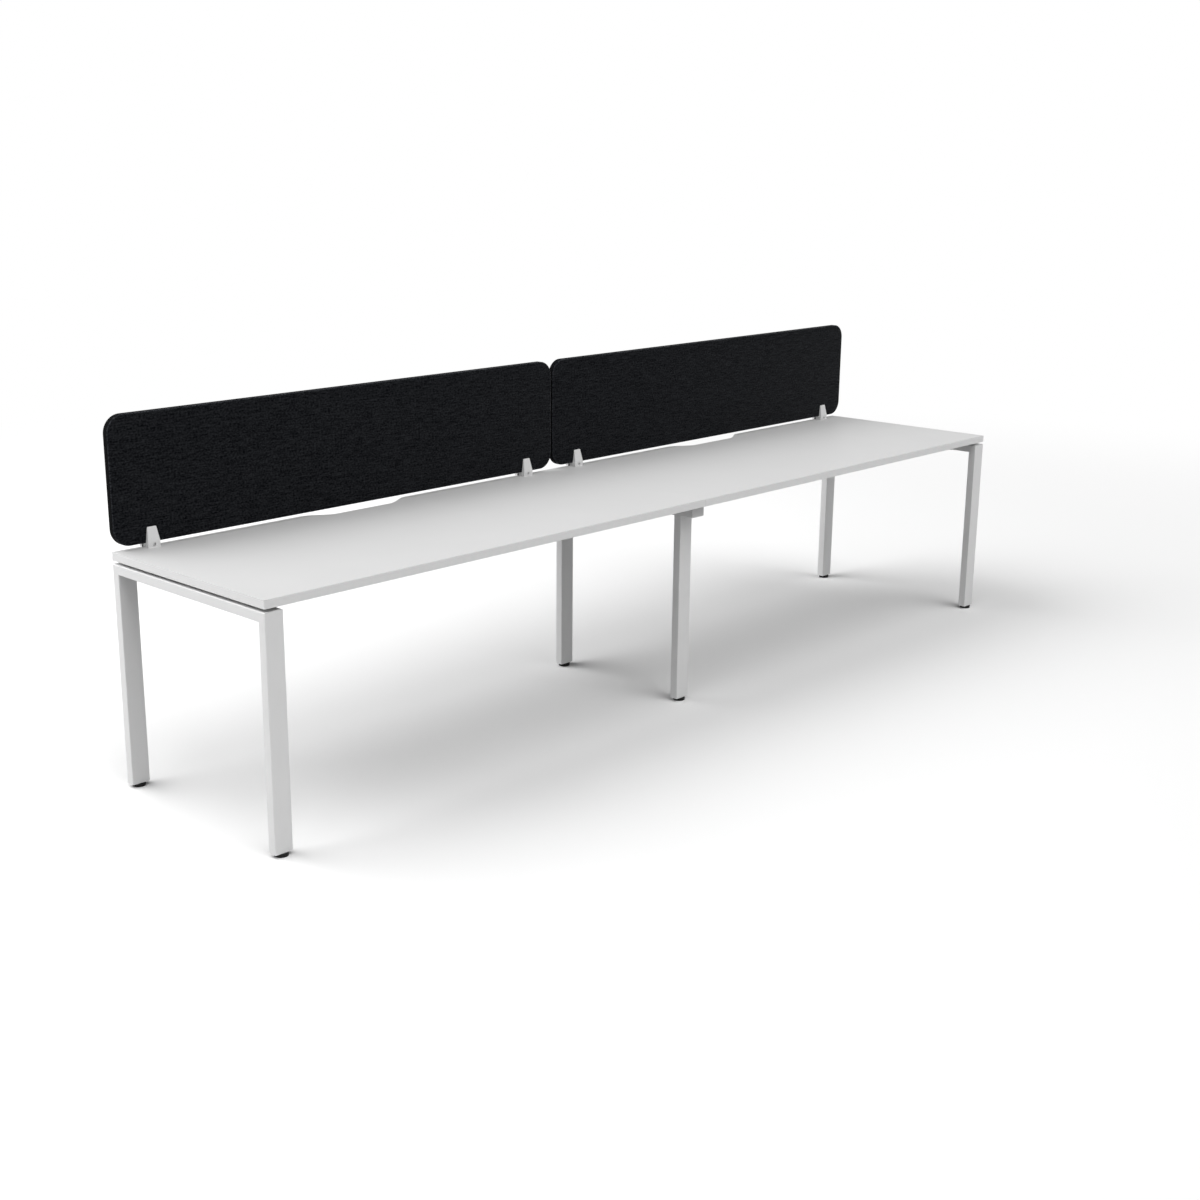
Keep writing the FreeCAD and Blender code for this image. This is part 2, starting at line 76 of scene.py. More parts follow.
# %% [markdown]
# ## The camera
# The photograph looks along the desk from the front left corner, a little from above. A camera can be
# placed by eye, but a long object shows every error of perspective, so the place, lens and shift here
# were worked out from the desk's own straight edges. The shift is there because the desk doesn't sit
# in the middle of the photograph.

# %% Place the camera
CAMERA_PLACE = (-4.1616, -3.7443, 1.8513)
CAMERA_TILT = 75
CAMERA_TURN = -45
CAMERA_LENS = 48.587
CAMERA_SHIFT = (0.0514, -0.0105)

bpy.ops.object.select_all(action="DESELECT")
bpy.ops.object.camera_add(
    location=CAMERA_PLACE,
    rotation=(math.radians(CAMERA_TILT), 0, math.radians(CAMERA_TURN)),
)
camera = bpy.context.object
camera.data.lens = CAMERA_LENS
camera.data.shift_x, camera.data.shift_y = CAMERA_SHIFT
bpy.context.scene.camera = camera
print("camera:", CAMERA_LENS, "mm lens")

# %% [markdown]
# ## Small tools for finishes
# A finish is a node tree that ends in one Principled shader. Every finish on this desk starts from the
# same two things: a place on the piece, which Object coordinates give in metres, and a noise that
# varies something over that place. A few helpers keep the trees short. The first two start a finish
# and make a noise, and the others let the noise act on colour, gloss and relief. What is the same all
# over a surface is set on the shader itself, so that it survives an export.

# %% Start a finish and make a noise
def start_finish(name, **constants):
    """New material with constants set on its Principled shader, and its Object coordinates."""
    material = bpy.data.materials.new(name)
    material.use_nodes = True
    tree = material.node_tree
    shader = tree.nodes["Principled BSDF"]
    for socket, value in constants.items():
        shader.inputs[socket.replace("_", " ")].default_value = value
    place = tree.nodes.new("ShaderNodeTexCoord").outputs["Object"]
    return material, tree, shader, place


def noise(tree, place, per_metre, detail=2.0, roughness=0.5):
    """Noise with so many features to the metre."""
    node = tree.nodes.new("ShaderNodeTexNoise")
    node.inputs["Scale"].default_value = per_metre
    node.inputs["Detail"].default_value = detail
    node.inputs["Roughness"].default_value = roughness
    tree.links.new(place, node.inputs["Vector"])
    return node.outputs["Fac"]


# %% Let a noise act on a finish
# The colour sockets of a Mix node share their names with its other kinds, so they go by number.
MIX_FIRST = 6
MIX_SECOND = 7
MIX_RESULT = 2


def grey(level):
    """Neutral colour of one level."""
    return (level, level, level)


def ranged(tree, value, low, high, reach=0.2):
    """The middle of a noise's values, so far each way from a half, spread from low to high."""
    node = tree.nodes.new("ShaderNodeMapRange")
    node.inputs["From Min"].default_value = 0.5 - reach
    node.inputs["From Max"].default_value = 0.5 + reach
    node.inputs["To Min"].default_value = low
    node.inputs["To Max"].default_value = high
    tree.links.new(value, node.inputs["Value"])
    return node.outputs["Result"]


def tinted(tree, shader, value, dark, light, reach=0.2):
    """Base colour that runs from dark to light with a noise."""
    node = tree.nodes.new("ShaderNodeMix")
    node.data_type = "RGBA"
    node.inputs[MIX_FIRST].default_value = (*dark, 1)
    node.inputs[MIX_SECOND].default_value = (*light, 1)
    tree.links.new(ranged(tree, value, 0, 1, reach), node.inputs["Factor"])
    tree.links.new(node.outputs[MIX_RESULT], shader.inputs["Base Color"])


def roughened(tree, shader, value, low, high):
    """Roughness that runs from low to high with a noise."""
    tree.links.new(ranged(tree, value, low, high), shader.inputs["Roughness"])


def grained(tree, shader, height, depth):
    """Relief of a depth in metres, from a height between 0 and 1."""
    bump = tree.nodes.new("ShaderNodeBump")
    bump.inputs["Distance"].default_value = depth
    tree.links.new(height, bump.inputs["Height"])
    tree.links.new(bump.outputs["Normal"], shader.inputs["Normal"])


# %% [markdown]
# ## Melamine on the worktops
# The worktops are boards faced with white melamine. It is pressed under a satin plate, which leaves a
# fine pearl-like grain. One flat white would do from afar, but so broad a top looks drawn when it is
# quite even, so a large soft noise clouds the white by a hundredth or two, and a fine one varies the
# gloss.

# %% Make the melamine
BOARD_WHITE = 0.635


def make_melamine():
    """Satin facing of the worktops, with a fine pearl grain."""
    material, tree, shader, place = start_finish("white_melamine", Specular_IOR_Level=0.02)
    pearl = noise(tree, place, per_metre=900)
    cloud = noise(tree, place, per_metre=6, detail=3)
    tinted(tree, shader, cloud, dark=grey(0.985 * BOARD_WHITE), light=grey(BOARD_WHITE))
    roughened(tree, shader, pearl, low=0.42, high=0.54)
    grained(tree, shader, pearl, depth=0.00003)
    return material


finishes = {"white_laminate": make_melamine()}
print("made", finishes["white_laminate"].name)

# %% [markdown]
# ## The edging strip
# A plastic strip closes the cut edge of each board. It is whiter than the melamine, partly as painted
# light that brightens its upright faces, and the extruder draws its grain out along its run, so its
# noise is stretched. Where the strip lies flat along the top it keeps the board's white. A thin piece
# could be added for that, but a band of the board's white along the upper edge, by height, does the
# same within the finish, so only the upright faces are painted lighter.

# %% Make the edging
# Partly painted light: this white, on the upright faces of strips, frames and caps, is brighter than the
# board's.
BRIGHT_WHITE = 0.91
TOP_BAND_HALF = 0.0005


def stretched(tree, place, scale):
    """Coordinates scaled by one number per axis, to draw a pattern out along an axis."""
    mapping = tree.nodes.new("ShaderNodeMapping")
    mapping.inputs["Scale"].default_value = scale
    tree.links.new(place, mapping.inputs["Vector"])
    return mapping.outputs["Vector"]


def masked_off(tree, shader, place, axis, start, end, level):
    """A band of one grey, from a start to an end along an axis, over the base colour."""
    axes = tree.nodes.new("ShaderNodeSeparateXYZ")
    tree.links.new(place, axes.inputs["Vector"])
    band = tree.nodes.new("ShaderNodeMath")
    band.operation = "COMPARE"
    band.inputs[1].default_value = (start + end) / 2
    band.inputs[2].default_value = (end - start) / 2
    tree.links.new(axes.outputs[axis], band.inputs[0])
    node = tree.nodes.new("ShaderNodeMix")
    node.data_type = "RGBA"
    node.inputs[MIX_SECOND].default_value = (*grey(level), 1)
    tree.links.new(band.outputs[0], node.inputs["Factor"])
    tree.links.new(shader.inputs["Base Color"].links[0].from_socket, node.inputs[MIX_FIRST])
    tree.links.new(node.outputs[MIX_RESULT], shader.inputs["Base Color"])


def make_edging():
    """Plastic strip round the worktops, drawn out along its run by the extruder."""
    material, tree, shader, place = start_finish("white_edging", Specular_IOR_Level=0.3)
    drawn = noise(tree, stretched(tree, place, scale=(0.05, 0.05, 1)), per_metre=700)
    tinted(tree, shader, drawn, dark=grey(0.98 * BRIGHT_WHITE), light=grey(BRIGHT_WHITE))
    # Painted light: the flat top of the strip gets the board's white, and its upright faces the brighter
    # white.
    upper_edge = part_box("worktop_left")[1].z
    top_band = (upper_edge - TOP_BAND_HALF, upper_edge + TOP_BAND_HALF)
    masked_off(tree, shader, place, "Z", *top_band, level=BOARD_WHITE)
    roughened(tree, shader, drawn, low=0.38, high=0.5)
    grained(tree, shader, drawn, depth=0.00002)
    return material


finishes["white_edging"] = make_edging()
print("made", finishes["white_edging"].name)

# %% [markdown]
# ## Powder coat on the frames
# The tubes and beams are dusted with a powder that melts in an oven and sets with a soft orange-peel
# relief. A photograph of such a coat could be laid on, but it would show its repeats along a rail, and
# a noise has none. One noise gives both the relief and the gloss, because the peel causes both.

# %% Make the powder coat
def make_powder_coat():
    """Baked powder coat of the frames and beams, with a soft orange-peel relief."""
    material, tree, shader, place = start_finish("white_powder_coat", Specular_IOR_Level=0.3)
    peel = noise(tree, place, per_metre=420, detail=1)
    cloud = noise(tree, place, per_metre=9, detail=3)
    # Partly painted light: the upright tubes take the brighter white, BRIGHT_WHITE, rather than the
    # board's white.
    tinted(tree, shader, cloud, dark=grey(0.98 * BRIGHT_WHITE), light=grey(BRIGHT_WHITE))
    roughened(tree, shader, peel, low=0.34, high=0.46)
    grained(tree, shader, peel, depth=0.00005)
    return material


finishes["white_powder_coat"] = make_powder_coat()
print("made", finishes["white_powder_coat"].name)

# %% [markdown]
# ## Plastic of the rail's caps
# A moulded cap closes each end of the middle rail. It could share the frame's coat, but it is a little
# greyer, partly as painted shade for the shade under the worktop's overhang, and its mould is eroded by
# sparks, which leaves a fine matt grain. A finer noise and a higher roughness tell the cap from the
# tube.

# %% Make the cap plastic
def make_cap_plastic():
    """Moulded plastic of the rail's end caps, spark-grained by its mould."""
    material, tree, shader, place = start_finish("white_cap_plastic", Specular_IOR_Level=0.3)
    spark = noise(tree, place, per_metre=1500)
    # Partly painted shade: the cap's grey stands in part for the shade under the worktop.
    tinted(tree, shader, spark, dark=grey(0.82 * BRIGHT_WHITE), light=grey(0.86 * BRIGHT_WHITE))
    roughened(tree, shader, spark, low=0.45, high=0.6)
    grained(tree, shader, spark, depth=0.00003)
    return material


finishes["white_plastic"] = make_cap_plastic()
print("made", finishes["white_plastic"].name)

# %% [markdown]
# ## Enamel on the brackets
# The screen brackets are castings with a pale coat, and the casting's speckle shows through it. The
# slot behind each heel, over the tongue on which the rear jaw slides, lies in deep shade, and that shade
# is painted: a near-black band between the end of the heel and the rear face of the screen, just short
# of both, gives the dark slot without a further piece.

# %% Make the bracket enamel
SHADE_BAND_INSET = 0.00025
SLOT_SHADE_GREY = 0.004


def make_bracket_enamel():
    """Pale coat over the cast brackets, with their speckle, and painted shade in the slot over the rear
    jaw's tongue.
    """
    material, tree, shader, place = start_finish("bracket_enamel", Specular_IOR_Level=0.45)
    speckle = noise(tree, place, per_metre=650, detail=3, roughness=0.6)
    tinted(tree, shader, speckle, dark=grey(0.74), light=grey(0.84))
    heel_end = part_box("left_inner_bracket_front_jaw")[1].y
    screen_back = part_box("screen_left")[1].y
    # Painted shade: a near-black band where the slot behind the heel lies in shade.
    slot_shade = (heel_end + SHADE_BAND_INSET, screen_back - SHADE_BAND_INSET)
    masked_off(tree, shader, place, "Y", *slot_shade, level=SLOT_SHADE_GREY)
    roughened(tree, shader, speckle, low=0.4, high=0.55)
    grained(tree, shader, speckle, depth=0.00006)
    return material


finishes["bracket_enamel"] = make_bracket_enamel()
print("made", finishes["bracket_enamel"].name)

# %% [markdown]
# ## Felt of the screens
# The screens are boards of pressed polyester felt. Felt has no weave: its fibres lie in tufts, and the
# carding machine draws them out along the board, so the colour is mottled by tufts and by long soft
# streaks. A mix of a round noise and a stretched one gives both, and a fine relief gives the fuzz. The
# rim of the board gets a painted highlight, a brighter felt with more sheen for the light that catches
# the rounded edge, and the cut edge gets painted shade, a darker felt. Each gets its own share of the
# felt's brightness and sheen.

# %% Make the felts
FELT_DARK = (0.0000, 0.0003, 0.0012)
FELT_LIGHT = (0.0238, 0.0251, 0.0282)
# Painted highlight on the rim and painted shade on the cut edge, as shares of the felt's colour and
# sheen.
FELT_SHARES = {"charcoal_felt": 1.0, "felt_rim_painted_highlight": 1.9, "felt_cut_edge_painted_shade": 0.3}
FELT_SHEEN = 0.25
STREAK_SHARE = 0.35


def mixed(tree, first, second, share):
    """A share of a second noise in a first one."""
    node = tree.nodes.new("ShaderNodeMix")
    node.inputs["Factor"].default_value = share
    tree.links.new(first, node.inputs["A"])
    tree.links.new(second, node.inputs["B"])
    return node.outputs["Result"]


def make_felt(name, share):
    """Charcoal felt with tufts, streaks and fibres, at a share of its brightness and sheen, which paints
    highlight or shade.
    """
    material, tree, shader, place = start_finish(
        name,
        Roughness=0.95,
        Specular_IOR_Level=0.03,
        Sheen_Weight=share * FELT_SHEEN,
        Sheen_Roughness=0.3,
    )
    tufts = noise(tree, stretched(tree, place, scale=(0.7, 1, 1)), per_metre=190)
    streaks = noise(tree, stretched(tree, place, scale=(0.08, 1, 1)), per_metre=300, detail=1)
    fibres = noise(tree, place, per_metre=1100, detail=3, roughness=0.7)
    dark, light = ([share * level for level in colour] for colour in (FELT_DARK, FELT_LIGHT))
    tinted(tree, shader, mixed(tree, tufts, streaks, STREAK_SHARE), dark, light, reach=0.14)
    grained(tree, shader, fibres, depth=0.0006)
    return material


felts = [make_felt(name, share) for name, share in FELT_SHARES.items()]
finishes["charcoal_felt"] = felts[0]
print("made", [felt.name for felt in felts])

# %% [markdown]
# ## Black plastic and zinc
# The feet and the plugs of the legs are moulded black plastic, and the fasteners are steel with a thin
# coat of zinc. Pure black would hide the edges of a foot, so the plastic is a very dark grey with a
# fine grain. Zinc comes out of its bath a little cloudy, so one noise varies both its colour and its
# gloss.

# %% Make the black plastic and the zinc
def make_black_plastic():
    """Moulded black plastic of the feet and plugs."""
    material, tree, shader, place = start_finish("black_plastic", Specular_IOR_Level=0.2)
    grain = noise(tree, place, per_metre=1300)
    tinted(tree, shader, grain, dark=grey(0.003), light=grey(0.006))
    roughened(tree, shader, grain, low=0.42, high=0.58)
    grained(tree, shader, grain, depth=0.00005)
    return material


def make_zinc():
    """Zinc plating, cloudy and a little uneven in its gloss."""
    material, tree, shader, place = start_finish("zinc_steel", Metallic=1.0)
    cloud = noise(tree, place, per_metre=160, detail=4)
    tinted(tree, shader, cloud, dark=grey(0.52), light=grey(0.66))
    roughened(tree, shader, cloud, low=0.28, high=0.42)
    grained(tree, shader, noise(tree, place, per_metre=1800), depth=0.00002)
    return material


finishes["black_plastic"] = make_black_plastic()
finishes["zinc_steel"] = make_zinc()
print("finishes:", sorted(finishes))

# %% [markdown]
# ## Dressing the carried nodes
# Tubes, boards, jaws and fasteners already have their true shape, so they stay as they are and only
# change their finish. The record says which slot each node belongs to, so a loop can do all of them.

# %% Give every node its finish
subparts = frame["record"]["subparts"]
for subpart in subparts:
    node = nodes[subpart["node"]]
    node.data.materials.clear()
    node.data.materials.append(finishes[subpart["material_slot"]])
print("dressed", len(subparts), "nodes")

# %% [markdown]
# ## Small tools for modelling
# Each new piece starts as a primitive and is shaped in edit mode. Operators act on all that is
# selected, so one helper starts a piece with nothing else selected, and two more pick edges by a test
# on their ends, or faces by a test on their centre and normal. When a piece is done, the last helper
# gives it its finish, lets it ride on its body, and hides the node it stands for.

# %% Helpers for modelling
# Places this close count as the same. A face is square to an axis when its normal reaches this far
# along it.
SAME = 1e-5
FLAT_FACE = 0.99


def begin_piece(name, add, **settings):
    """Add a primitive with nothing else selected, and put its place and size into its mesh."""
    bpy.ops.object.select_all(action="DESELECT")
    add(**settings)
    bpy.ops.object.transform_apply(location=True, rotation=True, scale=True)
    piece = bpy.context.object
    piece.name = name
    return piece


def pick_edges(piece, wanted):
    """In edit mode, select only the edges whose two ends pass a test."""
    bpy.ops.mesh.select_mode(type="EDGE")
    bpy.ops.mesh.select_all(action="DESELECT")
    mesh = bmesh.from_edit_mesh(piece.data)
    for edge in mesh.edges:
        edge.select_set(wanted(edge.verts[0].co, edge.verts[1].co))
    bmesh.update_edit_mesh(piece.data)


def pick_faces(piece, wanted):
    """In edit mode, select only the faces whose centre and normal pass a test."""
    bpy.ops.mesh.select_mode(type="FACE")
    bpy.ops.mesh.select_all(action="DESELECT")
    mesh = bmesh.from_edit_mesh(piece.data)
    for face in mesh.faces:
        face.select_set(wanted(face.calc_center_median(), face.normal))
    bmesh.update_edit_mesh(piece.data)


def finish_piece(piece, body, slot, stands_for):
    """Dress a finished piece, let it ride on its body, and hide the node it stands for."""
    piece.data.materials.clear()
    piece.data.materials.append(finishes[slot])
    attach(piece, body)
    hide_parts(stands_for)
    print("made", piece.name, "with", len(piece.data.polygons), "faces")


# %% [markdown]
# ## The felt screens
# A felt screen is cut from board with rounded corners, and its cut edges are a little soft. A plane
# with thickness would do from afar, but the light catches the soft edge all round, so the panel is a
# block with two bevels: a wide one on the four corners and a small one along both faces. The board is
# heavy enough to settle a few millimetres over the two bracket heels that carry it, and it is cut a
# little short where the two screens meet, so that they never rub.

# %% Model the felt screens
SCREEN_CORNER = 0.055
CORNER_STEPS = 16
SCREEN_EDGE = 0.003
EDGE_STEPS = 5
SCREEN_SETTLES = 0.0035
SCREEN_TRIM = 0.002
SCREEN_CREASE = math.radians(40)

screens = []
for side, inward in (("left", 1), ("right", -1)):
    low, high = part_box("screen_" + side)
    low.z -= SCREEN_SETTLES
    inner_end = high if inward > 0 else low
    inner_end.x -= inward * SCREEN_TRIM
    screen = begin_piece(
        "felt_screen_" + side,
        bpy.ops.mesh.primitive_cube_add,
        size=1,
        location=(low + high) / 2,
        scale=high - low,
    )
    bpy.ops.object.mode_set(mode="EDIT")
    pick_edges(screen, lambda a, b: abs(a.y - b.y) > SAME)
    bpy.ops.mesh.bevel(offset=SCREEN_CORNER, segments=CORNER_STEPS, affect="EDGES")
    pick_edges(screen, lambda a, b: abs(a.y - b.y) < SAME)
    bpy.ops.mesh.bevel(offset=SCREEN_EDGE, segments=EDGE_STEPS, affect="EDGES")
    bpy.ops.object.mode_set(mode="OBJECT")
    bpy.ops.object.shade_smooth_by_angle(angle=SCREEN_CREASE)
    finish_piece(screen, "workstation", "charcoal_felt", "screen_" + side)
    screens.append(screen)

# %% [markdown]
# ## Rim and cut edge of the screens
# The rim's painted highlight and the cut edge's painted shade have felts of their own. They could be
# pieces of their own, but pieces would show seams, so each screen takes the two felts as further
# materials. Its faces are told apart by their normals: whatever isn't part of the two flat faces first
# gets the rim's felt, and what stands square to them then gets the felt of the cut edge.

# %% Give the rim and the cut edge their felts
CUT_FACE = 0.1


def select_only(*pieces):
    """Select some pieces and nothing else; the first is the active one."""
    bpy.ops.object.select_all(action="DESELECT")
    for piece in pieces:
        piece.select_set(True)
    bpy.context.view_layer.objects.active = pieces[0]


for screen in screens:
    select_only(screen)
    for felt in felts[1:]:
        screen.data.materials.append(felt)
    bpy.ops.object.mode_set(mode="EDIT")
    for index, steepest in enumerate((FLAT_FACE, CUT_FACE), start=1):
        pick_faces(screen, lambda centre, normal: abs(normal.y) < steepest)
        screen.active_material_index = index
        bpy.ops.object.material_slot_assign()
    bpy.ops.object.mode_set(mode="OBJECT")
    print(screen.name, "has", len(screen.data.materials), "felts")

# %% [markdown]
# ## Screw threads
# Studs, bolts and screws all carry a thread. A smooth rod would pass from afar, but the thread is what
# makes a foot move and a bolt hold, and it shows as soon as a foot is screwed out. One turn of it is a
# small tooth of five points. The Screw modifier winds the tooth up the shank, with a turn to spare at
# each end. Two cuts close the ends, and the last face is drawn out to a tip: blunt on a bolt, sharp on
# a wood screw.

# %% Wind a thread
# Each step of the tooth goes outward by depths of the thread, and upward by a share of its pitch.
TOOTH = ((1, 3 / 8), (0, 1 / 8), (-1, 3 / 8), (0, 1 / 8))
THREAD_STEPS = 28
SPARE_TURNS = 2


def wound_thread(name, radius, depth, pitch, length):
    """Open thread, wound from a turn below the origin to past a length."""
    thread = begin_piece(name, bpy.ops.mesh.primitive_plane_add, size=depth)
    bpy.ops.object.mode_set(mode="EDIT")
    bpy.ops.mesh.select_mode(type="VERT")
    bpy.ops.mesh.select_all(action="SELECT")
    bpy.ops.mesh.merge(type="CENTER")
    bpy.ops.transform.translate(value=(radius - depth, 0, -pitch))
    for outward, upward in TOOTH:
        step = (outward * depth, 0, upward * pitch)
        bpy.ops.mesh.extrude_vertices_move(TRANSFORM_OT_translate={"value": step})
    bpy.ops.object.mode_set(mode="OBJECT")
    winding = thread.modifiers.new("winding", "SCREW")
    winding.screw_offset = pitch
    winding.iterations = math.ceil(length / pitch) + SPARE_TURNS
    winding.steps = THREAD_STEPS
    winding.render_steps = THREAD_STEPS
    bpy.ops.object.modifier_apply(modifier="winding")
    return thread


# %% Cut the thread to a rod
# The teeth are so fine that only points closer than this are one point.
TINY = 1e-7


def cut_across(level, **discard):
    """In edit mode, cut the whole piece at a level and close the cut."""
    bpy.ops.mesh.select_all(action="SELECT")
    bpy.ops.mesh.bisect(
        plane_co=(0, 0, level), plane_no=(0, 0, 1), use_fill=True, threshold=TINY, **discard
    )


def wound_rod(name, radius, depth, pitch, length, tip_length, tip_share):
    """Threaded rod that stands on the origin, with a tip that narrows to a share of its width."""
    rod = wound_thread(name, radius, depth, pitch, length)
    thread_end = length - tip_length
    bpy.ops.object.mode_set(mode="EDIT")
    bpy.ops.mesh.select_all(action="SELECT")
    bpy.ops.mesh.remove_doubles(threshold=TINY)
    cut_across(0, clear_inner=True)
    cut_across(thread_end, clear_outer=True)
    pick_faces(
        rod, lambda centre, normal: abs(normal.z) > FLAT_FACE and abs(centre.z - thread_end) < SAME
    )
    bpy.ops.mesh.extrude_region_move(TRANSFORM_OT_translate={"value": (0, 0, tip_length)})
    bpy.ops.transform.resize(value=(tip_share, tip_share, 1), center_override=(0, 0, thread_end))
    bpy.ops.mesh.select_all(action="SELECT")
    bpy.ops.mesh.normals_make_consistent(inside=False)
    bpy.ops.object.mode_set(mode="OBJECT")
    return rod


# %% [markdown]
# ## The studs of the feet
# A stud is a threaded rod with a flat head that the foot pad grips. The head is a short cylinder with
# its lower rim bevelled, as a lathe leaves it. All six studs are the same, so one is modelled and
# copied into each leg, where it rides on the body that slides with its foot.

# %% Helpers for heads and copies
HEAD_SIDES = 40
X, Y, Z = range(3)


def round_head(name, radius, height, rim, steps):
    """Round head just below the origin, with its lower rim rounded off."""
    head = begin_piece(
        name,
        bpy.ops.mesh.primitive_cylinder_add,
        vertices=HEAD_SIDES,
        radius=radius,
        depth=height,
        location=(0, 0, -height / 2),
    )
    bpy.ops.object.mode_set(mode="EDIT")
    pick_edges(head, lambda a, b: max(a.z, b.z) < SAME - height)
    bpy.ops.mesh.bevel(offset=rim, segments=steps, affect="EDGES")
    bpy.ops.object.mode_set(mode="OBJECT")
    return head


def joined(pieces, name):
    """One piece of several."""
    select_only(*pieces)
    bpy.ops.object.join()
    pieces[0].name = name
    return pieces[0]


def placed_copy(piece, name, place, turn=(0, 0, 0)):
    """Copy of a piece with its own mesh, turned and moved, with its new place in its mesh."""
    select_only(piece)
    bpy.ops.object.duplicate()
    copy = bpy.context.object
    copy.name = name
    copy.rotation_euler = [math.radians(angle) for angle in turn]
    copy.location = place
    bpy.ops.object.transform_apply(location=True, rotation=True, scale=True)
    return copy


def middle(low, high, axis):
    """Middle of a box along an axis."""
    return (low[axis] + high[axis]) / 2


# %% Make one stud and copy it to the six feet
STUD_HEAD = 0.003
FASTENER_CREASE = math.radians(35)

low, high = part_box("left_front_foot_stud")
rod = wound_rod(
    "stud_rod",
    radius=0.004,
    depth=0.00068,
    pitch=0.00125,
    length=high.z - low.z - STUD_HEAD,
    tip_length=0.001,
    tip_share=0.75,
)
head = round_head("stud_head", radius=(high.x - low.x) / 2, height=STUD_HEAD, rim=0.0004, steps=2)
stud = joined([rod, head], "stud")
bpy.ops.object.shade_smooth_by_angle(angle=FASTENER_CREASE)
for frame_name in ("left", "middle", "right"):
    for end in ("_front", "_rear"):
        foot = frame_name + end
        low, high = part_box(foot + "_foot_stud")
        seat = (middle(low, high, X), middle(low, high, Y), low.z + STUD_HEAD)
        copy = placed_copy(stud, foot + "_threaded_stud", seat)
        finish_piece(copy, foot + "_stud", "zinc_steel", foot + "_foot_stud")
bpy.data.objects.remove(stud)

# %% [markdown]
# ## Small tools for bolts and screws
# A forge presses the recess into a bolt's head with a punch, and a Boolean with a punch of that shape
# does the same here. One node holds all bolts of a kind, so a copy of it is taken apart to find the
# place of each, and the new bolts are joined into one piece again.

# %% Helpers for bolts and screws
def pressed(head, punch):
    """Press a punch into a head, and take the punch away."""
    select_only(head)
    recess = head.modifiers.new("recess", "BOOLEAN")
    recess.object = punch
    bpy.ops.object.modifier_apply(modifier="recess")
    bpy.data.objects.remove(punch)


def solids_of(node):
    """Low and high corner of each separate solid in a node, from a copy that is taken apart."""
    select_only(nodes[node])
    bpy.ops.object.duplicate()
    bpy.ops.object.mode_set(mode="EDIT")
    bpy.ops.mesh.select_all(action="SELECT")
    bpy.ops.mesh.remove_doubles(threshold=TINY)
    bpy.ops.mesh.separate(type="LOOSE")
    bpy.ops.object.mode_set(mode="OBJECT")
    boxes = []
    for solid in list(bpy.context.selected_objects):
        places = [solid.matrix_world @ vertex.co for vertex in solid.data.vertices]
        axes = list(zip(*places))
        boxes.append(([min(axis) for axis in axes], [max(axis) for axis in axes]))
        bpy.data.objects.remove(solid)
    return sorted(boxes)


def fit_all(fastener, name, node, fits):
    """Copies of a fastener at each place and turn, joined in place of a node."""
    copies = [placed_copy(fastener, name, place, turn) for place, turn in fits]
    whole = joined(copies, name)
    bpy.ops.object.shade_smooth_by_angle(angle=FASTENER_CREASE)
    finish_piece(whole, "workstation", "zinc_steel", node)
    bpy.data.objects.remove(fastener)


# %% [markdown]
# ## Button-head bolts
# Button-head bolts with a hexagon socket draw the jaws of each screen bracket together, and hold the
# beams to the rails. A round head with a wide bevel gives the button, and a six-sided punch its socket.
# One function makes a bolt of any length, because the two kinds differ in nothing else.

# %% Make a bolt
BOLT_HEAD = 0.0033
KEY_WIDTH = 0.004
KEY_DEPTH = 0.002


def button_bolt(length):
    """Bolt that points up, with its seat at the origin and a hexagon socket in its head."""
    rod = wound_rod(
        "bolt_rod",
        radius=0.003,
        depth=0.00054,
        pitch=0.001,
        length=length,
        tip_length=0.0008,
        tip_share=0.8,
    )
    head = round_head("bolt_head", radius=0.00525, height=BOLT_HEAD, rim=0.0024, steps=6)
    punch = begin_piece(
        "key_punch",
        bpy.ops.mesh.primitive_cylinder_add,
        vertices=6,
        radius=KEY_WIDTH / math.sqrt(3),
        depth=2 * KEY_DEPTH,
        location=(0, 0, -BOLT_HEAD),
    )
    pressed(head, punch)
    return joined([rod, head], "bolt")


# %% Fit the clamp bolts, which point to the rear
boxes = solids_of("clamp_bolts")
low, high = boxes[0]
clamp_bolt = button_bolt(high[Y] - low[Y] - BOLT_HEAD)
fits = []
for low, high in boxes:
    seat = (middle(low, high, X), low[Y] + BOLT_HEAD, middle(low, high, Z))
    fits.append((seat, (-90, 0, 0)))
fit_all(clamp_bolt, "button_clamp_bolts", "clamp_bolts", fits)

# %% Fit the beam bolts, which point out of both ends of each beam
boxes = solids_of("beam_bolts")
low, high = boxes[0]
beam_bolt = button_bolt(high[X] - low[X] - BOLT_HEAD)
fits = []
for low, high in boxes:
    beam_low, beam_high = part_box("beam_left_front" if high[X] < 0 else "beam_right_front")
    outward = math.copysign(1, middle(low, high, X) - middle(beam_low, beam_high, X))
    seat_x = low[X] + BOLT_HEAD if outward > 0 else high[X] - BOLT_HEAD
    fits.append(((seat_x, middle(low, high, Y), middle(low, high, Z)), (0, 90 * outward, 0)))
fit_all(beam_bolt, "button_beam_bolts", "beam_bolts", fits)

# %% [markdown]
# ## Wood screws
# Pan-head wood screws come up through the beams into the worktops. Their thread is coarse and ends in a
# sharp tip, and the head has a cross recess. A cross-shaped punch could be built for it, but two flat
# ones, pressed in one after the other at a right angle, are simpler. Each narrows towards its inner end,
# as the driver's blade does.

# %% Make and fit the wood screws
SCREW_HEAD = 0.0024
RECESS_SIZE = (0.0044, 0.0009, 0.0030)
RECESS_TAPER = 0.4

